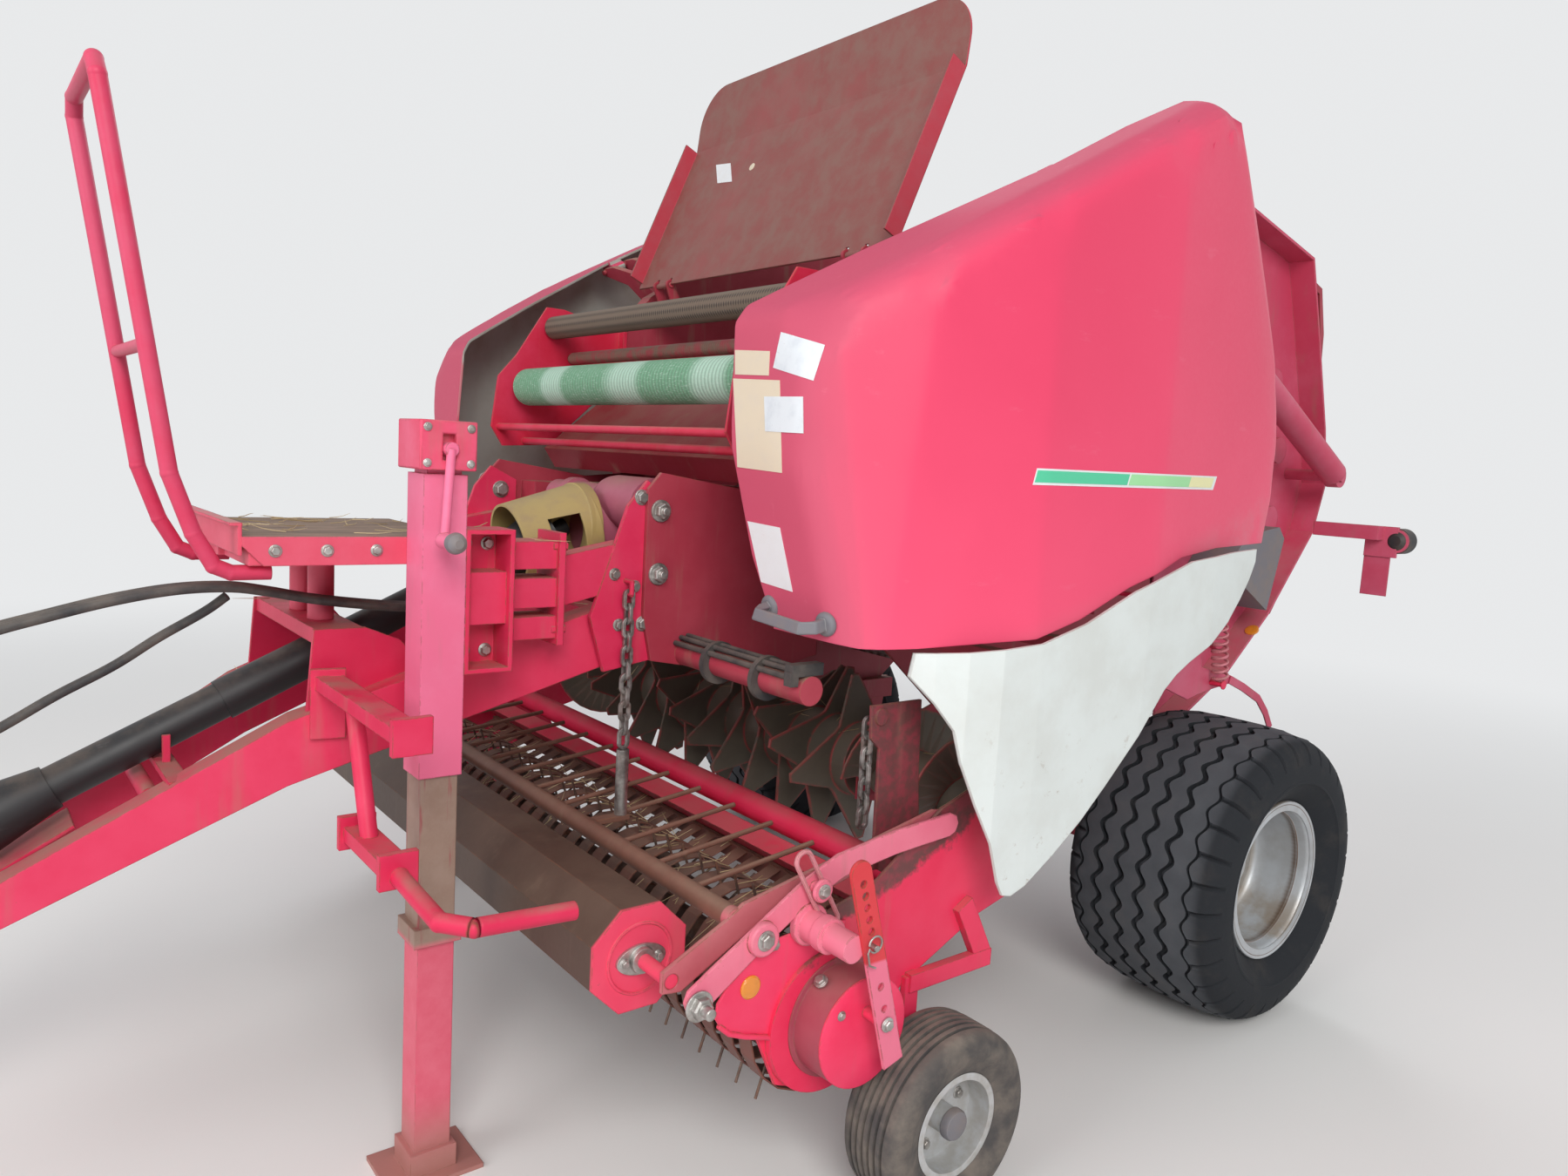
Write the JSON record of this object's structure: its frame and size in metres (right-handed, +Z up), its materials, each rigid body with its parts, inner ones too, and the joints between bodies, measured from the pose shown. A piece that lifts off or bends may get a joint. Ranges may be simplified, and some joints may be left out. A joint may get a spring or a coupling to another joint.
{
  "type": "round baler",
  "caption": "Trailed round baler with a roller chamber, swinging tailgate, raised net hood, tined pickup with wind guard, drawbar with eye, side jack and low tyres.",
  "frame": {"origin": "on the ground under the middle of the machine's length and width", "axes": "+X forward to the hitch, +Y to the machine's left, +Z up"},
  "size_m": [4.61, 2.575, 2.8001],
  "materials": {
    "red_paint": "weathered gloss",
    "faded_cover": "chalked, faded",
    "cream_cover": "chalked",
    "dark_red_paint": "dusty",
    "roller_steel": "polished by crop",
    "rusty_steel": "rusty",
    "drive_paint": "dusty",
    "yellow_plastic": "matt",
    "black_plastic": "matt",
    "net": "woven",
    "plywood": "weathered",
    "tyre_rubber": "matt",
    "rim_silver": "satin",
    "chrome_rod": "polished",
    "grey_plastic": "matt",
    "hose_rubber": "matt",
    "chain_steel": "dull"
  },
  "bodies": {
    "frame": {"chassis": "red_paint", "front_rollers": "roller_steel", "front_panel": "dark_red_paint", "gearbox": "drive_paint", "pto_cone": "yellow_plastic", "pto_shaft": "black_plastic", "drawbar": "dark_red_paint", "net_box": "red_paint", "net_roll": "net", "net_rollers": "rusty_steel", "platform": "plywood", "handrail": "red_paint", "steps": "red_paint", "jack_case": "red_paint", "fender_left": "cream_cover", "fender_right": "cream_cover", "lift_chain": "chain_steel", "grease_lines": "hose_rubber", "drawbar_hoses": "hose_rubber"},
    "jack_leg": {"jack_leg": "red_paint"},
    "shield_left": {"shield_left": "faded_cover"},
    "shield_right": {"shield_right": "faded_cover"},
    "hood": {"hood": "red_paint"},
    "tailgate": {"tailgate_frame": "red_paint", "tailgate_skin": "red_paint", "tailgate_rollers": "roller_steel", "light_bars": "dark_red_paint", "wheel_chocks": "grey_plastic"},
    "barrel_left": {"cylinder_barrel_left": "red_paint"},
    "barrel_right": {"cylinder_barrel_right": "red_paint"},
    "rod_left": {"cylinder_rod_left": "chrome_rod"},
    "rod_right": {"cylinder_rod_right": "chrome_rod"},
    "wheel_left": {"tyre_left": "tyre_rubber", "rim_left": "rim_silver"},
    "wheel_right": {"tyre_right": "tyre_rubber", "rim_right": "rim_silver"},
    "gauge_wheel_left": {"gauge_tyre_left": "tyre_rubber", "gauge_rim_left": "rim_silver"},
    "gauge_wheel_right": {"gauge_tyre_right": "tyre_rubber", "gauge_rim_right": "rim_silver"},
    "pickup": {"pickup_frame": "red_paint", "strippers": "rusty_steel", "side_chains": "chain_steel"},
    "reel": {"pickup_reel": "roller_steel"},
    "wind_guard": {"wind_guard": "red_paint"},
    "press_roller": {"press_roller": "red_paint"},
    "rotor": {"feed_rotor": "red_paint", "auger_flights": "red_paint"}
  },
  "joints": [
    {"name": "wheel_left_spin", "type": "hinge", "parent": "frame", "child": "wheel_left", "pos_m": [-1.175, 0.995, 0.433], "axis": [0, 1, 0], "continuous": true},
    {"name": "wheel_right_spin", "type": "hinge", "parent": "frame", "child": "wheel_right", "pos_m": [-1.175, -0.995, 0.433], "axis": [0, 1, 0], "continuous": true},
    {"name": "jack_leg_slide", "type": "slide", "parent": "frame", "child": "jack_leg", "axis": [0, 0, 1], "range_m": [0, 0.3]},
    {"name": "pickup_lift", "type": "hinge", "parent": "frame", "child": "pickup", "pos_m": [-0.105, 0, 0.77], "axis": [0, -1, 0], "range_deg": [0, 8], "deforming": ["lift_chain"]},
    {"name": "gauge_wheel_left_spin", "type": "hinge", "parent": "pickup", "child": "gauge_wheel_left", "pos_m": [0.225, 1.205, 0.205], "axis": [0, 1, 0], "continuous": true},
    {"name": "gauge_wheel_right_spin", "type": "hinge", "parent": "pickup", "child": "gauge_wheel_right", "pos_m": [0.225, -1.205, 0.205], "axis": [0, 1, 0], "continuous": true},
    {"name": "reel_spin", "type": "hinge", "parent": "pickup", "child": "reel", "pos_m": [0.465, 0, 0.44], "axis": [0, 1, 0], "continuous": true},
    {"name": "rotor_spin", "type": "hinge", "parent": "frame", "child": "rotor", "pos_m": [-0.105, 0, 0.77], "axis": [0, 1, 0], "continuous": true},
    {"name": "wind_guard_lift", "type": "hinge", "parent": "pickup", "child": "wind_guard", "pos_m": [0.142, 0, 0.797], "axis": [0, -1, 0], "range_deg": [0, 6]},
    {"name": "press_roller_spin", "type": "hinge", "parent": "wind_guard", "child": "press_roller", "pos_m": [0.825, 0, 0.6], "axis": [0, 1, 0], "continuous": true},
    {"name": "hood_close", "type": "hinge", "parent": "frame", "child": "hood", "pos_m": [-0.045, 0, 2.108], "axis": [0, 1, 0], "range_deg": [0, 123]},
    {"name": "shield_left_open", "type": "hinge", "parent": "frame", "child": "shield_left", "pos_m": [-0.375, 0.985, 2.349], "axis": [0.8862, 0, -0.4633], "range_deg": [0, 55]},
    {"name": "shield_right_open", "type": "hinge", "parent": "frame", "child": "shield_right", "pos_m": [-0.375, -0.985, 2.349], "axis": [-0.8862, 0, 0.4633], "range_deg": [0, 55]},
    {"name": "tailgate_open", "type": "hinge", "parent": "frame", "child": "tailgate", "pos_m": [-1.235, 0, 2.43], "axis": [0, 1, 0], "range_deg": [0, 45]},
    {"name": "barrel_left_swing", "type": "hinge", "parent": "tailgate", "child": "barrel_left", "pos_m": [-2.105, 0.8, 1.618], "axis": [0, 1, 0], "range_deg": [-10.5, 0]},
    {"name": "rod_left_slide", "type": "slide", "parent": "barrel_left", "child": "rod_left", "axis": [0.8939, 0, 0.4483], "range_m": [0, 0.1861]},
    {"name": "barrel_right_swing", "type": "hinge", "parent": "tailgate", "child": "barrel_right", "pos_m": [-2.105, -0.8, 1.618], "axis": [0, 1, 0], "range_deg": [-10.5, 0]},
    {"name": "rod_right_slide", "type": "slide", "parent": "barrel_right", "child": "rod_right", "axis": [0.8939, 0, 0.4483], "range_m": [0, 0.1861]}
  ],
  "couplings": [
    {"joint": "barrel_left_swing", "follows": "tailgate_open", "ratio": -0.23102},
    {"joint": "rod_left_slide", "follows": "tailgate_open", "m_per_rad": 0.23571},
    {"joint": "barrel_right_swing", "follows": "tailgate_open", "ratio": -0.23102},
    {"joint": "rod_right_slide", "follows": "tailgate_open", "m_per_rad": 0.23571}
  ]
}
